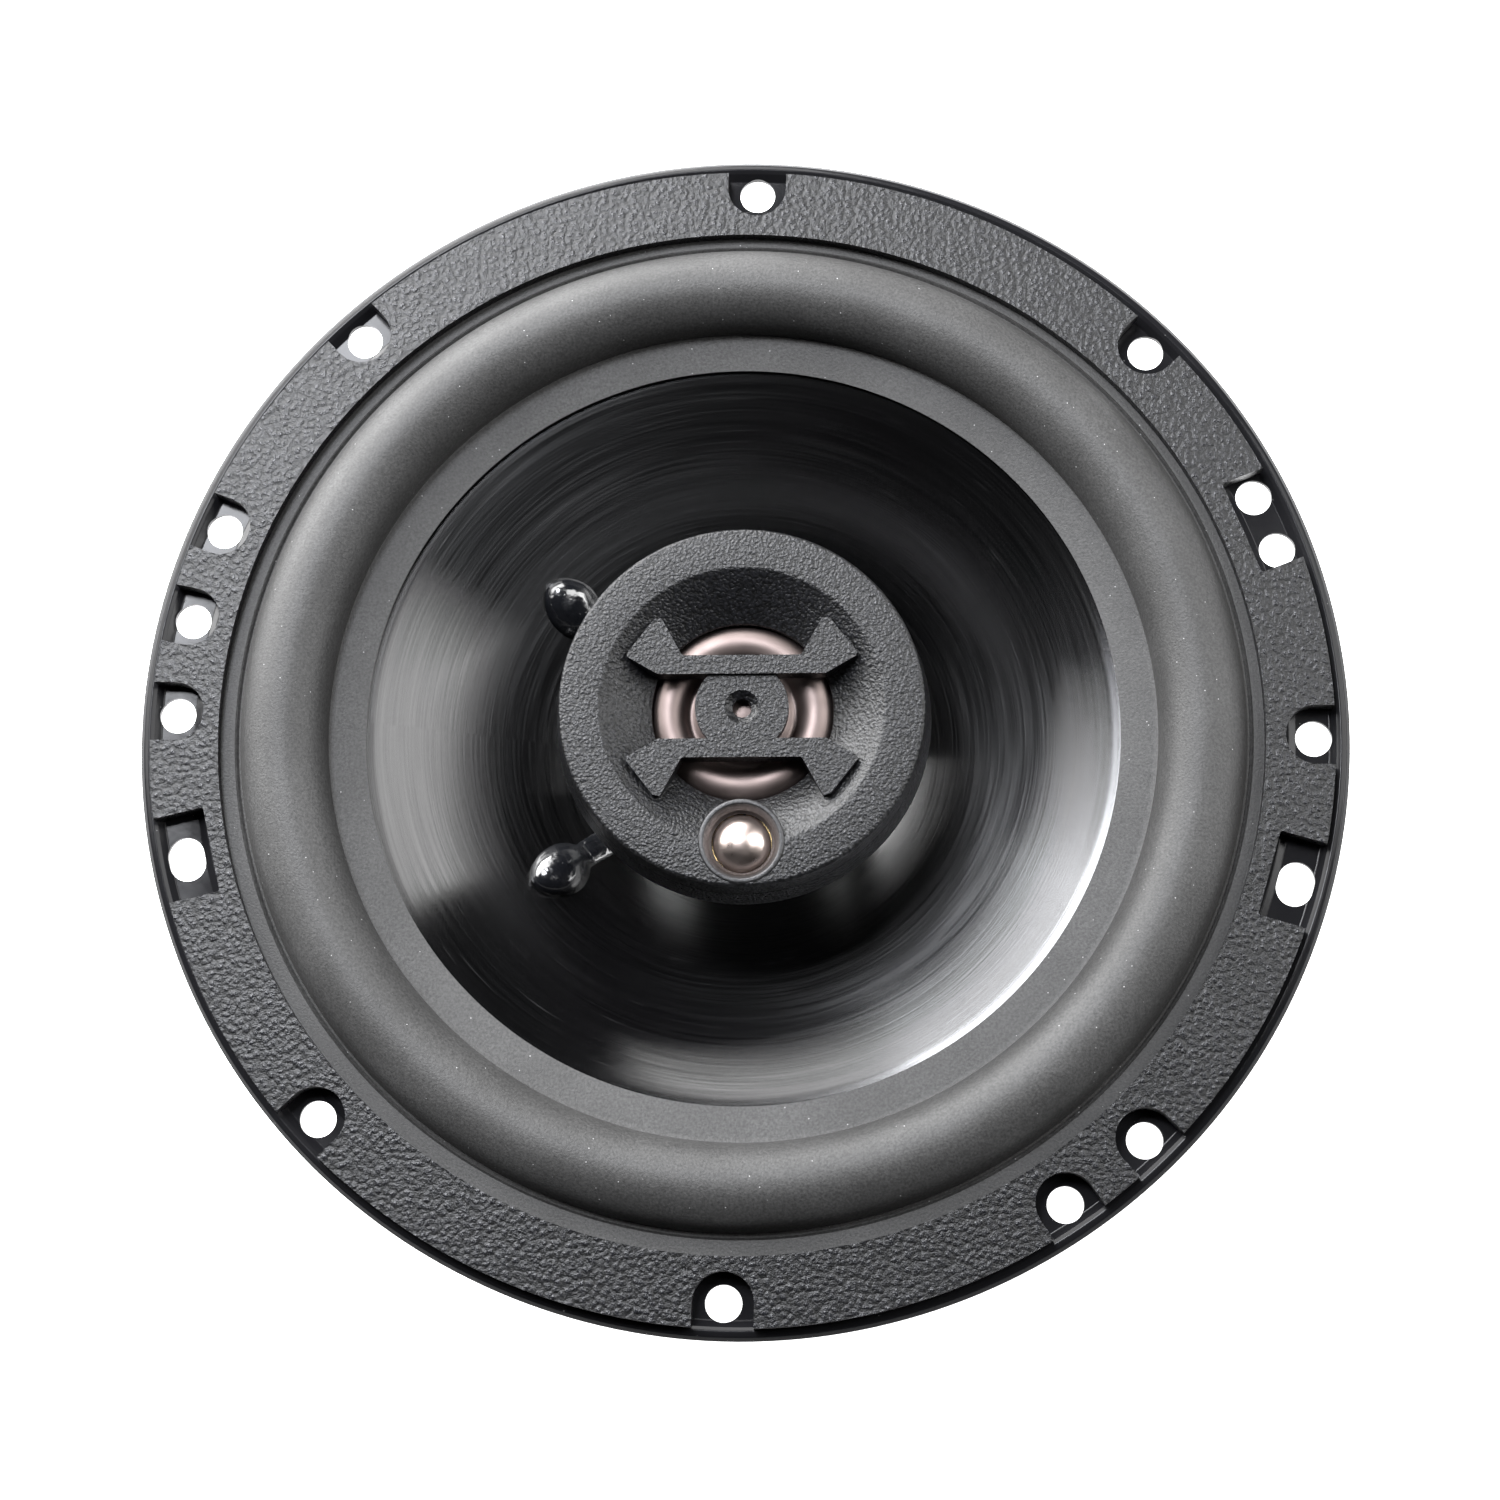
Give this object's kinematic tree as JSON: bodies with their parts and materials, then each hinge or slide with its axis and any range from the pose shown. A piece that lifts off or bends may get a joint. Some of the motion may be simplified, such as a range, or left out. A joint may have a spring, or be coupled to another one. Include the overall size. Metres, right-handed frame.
{
  "type": "coaxial car speaker",
  "caption": "Round coaxial car loudspeaker: stamped flange basket with gasket, rubber-edged cone, and a tweeter pod on a post through the pole, with a second small tweeter.",
  "frame": {"origin": "on the speaker's axis, in the plane of the flange's rear mounting face, at the centre of the fixing holes' circle", "axes": "+Z out of the cone towards the listener; the magnet is below in -Z; the terminals are at -X; the fixing holes lie at 0, 45, 90 ... degrees from +X"},
  "size_m": [0.168, 0.168, 0.0746],
  "materials": {
    "basket_steel": "black gloss powder coat on pressed steel",
    "plated_steel": "zinc plated",
    "gasket": "moulded with a leather grain",
    "surround_rubber": "matt moulded butyl rubber",
    "cone": "gloss injection moulded polypropylene with fine turned rings",
    "former": "thin anodised aluminium",
    "copper": "enamelled copper wire",
    "spider_cloth": "resin treated corrugated cotton",
    "glue": "glossy black contact cement",
    "brass": "bright brass",
    "braid": "braided copper tinsel",
    "ferrite": "sintered grey ferrite",
    "boot_rubber": "soft moulded rubber",
    "pod_plastic": "moulded with a spark-eroded texture",
    "black_plastic": "plain moulded",
    "metallised_film": "bronze metallised polyester film, gloss",
    "magnet_plating": "nickel plated",
    "bezel_metal": "satin dark titanium lacquer",
    "board": "phenolic paper laminate",
    "capacitor_sleeve": "printed PVC sleeve, no lettering",
    "wire_red": "PVC insulation",
    "wire_black": "PVC insulation"
  },
  "bodies": {
    "frame": {"basket": "basket_steel", "basket_rivets": "plated_steel", "gasket_ring": "gasket", "surround": "surround_rubber", "spider": "spider_cloth", "tinsel_lead_positive": "braid", "tinsel_lead_negative": "braid", "top_plate": "plated_steel", "ring_magnet": "ferrite", "yoke": "plated_steel", "magnet_boot": "boot_rubber", "tweeter_post": "plated_steel", "post_washer": "plated_steel", "post_nut": "plated_steel", "pod_housing": "pod_plastic", "pod_bezel": "pod_plastic", "tweeter_pot": "plated_steel", "tweeter_magnet": "magnet_plating", "tweeter_plate": "plated_steel", "tweeter_ring": "black_plastic", "super_tweeter_bezel": "bezel_metal", "super_tweeter_dome": "metallised_film", "super_tweeter_piezo": "brass", "super_tweeter_back": "black_plastic", "terminal_board": "board", "board_rivet": "plated_steel", "terminal_positive": "brass", "terminal_negative": "brass", "terminal_rivets": "brass", "crossover_capacitor": "capacitor_sleeve", "capacitor_legs": "plated_steel", "tweeter_wire_positive": "wire_red", "tweeter_wire_negative": "wire_black"},
    "cone": {"cone": "cone", "voice_coil_former": "former", "voice_coil_winding": "copper", "lead_dab_upper": "glue", "lead_dab_lower": "glue", "lead_eyelets": "brass"},
    "tweeter": {"tweeter_diaphragm": "metallised_film", "tweeter_coil": "copper"}
  },
  "joints": [
    {"name": "cone_travel", "type": "slide", "parent": "frame", "child": "cone", "axis": [0, 0, 1], "range_m": [-0.004, 0.004], "stiffness_N_per_m": 1700, "deforming": ["surround", "spider", "tinsel_lead_positive", "tinsel_lead_negative"]},
    {"name": "tweeter_travel", "type": "slide", "parent": "frame", "child": "tweeter", "axis": [0, 0, 1], "range_m": [-0.0003, 0.0003], "stiffness_N_per_m": 200}
  ]
}
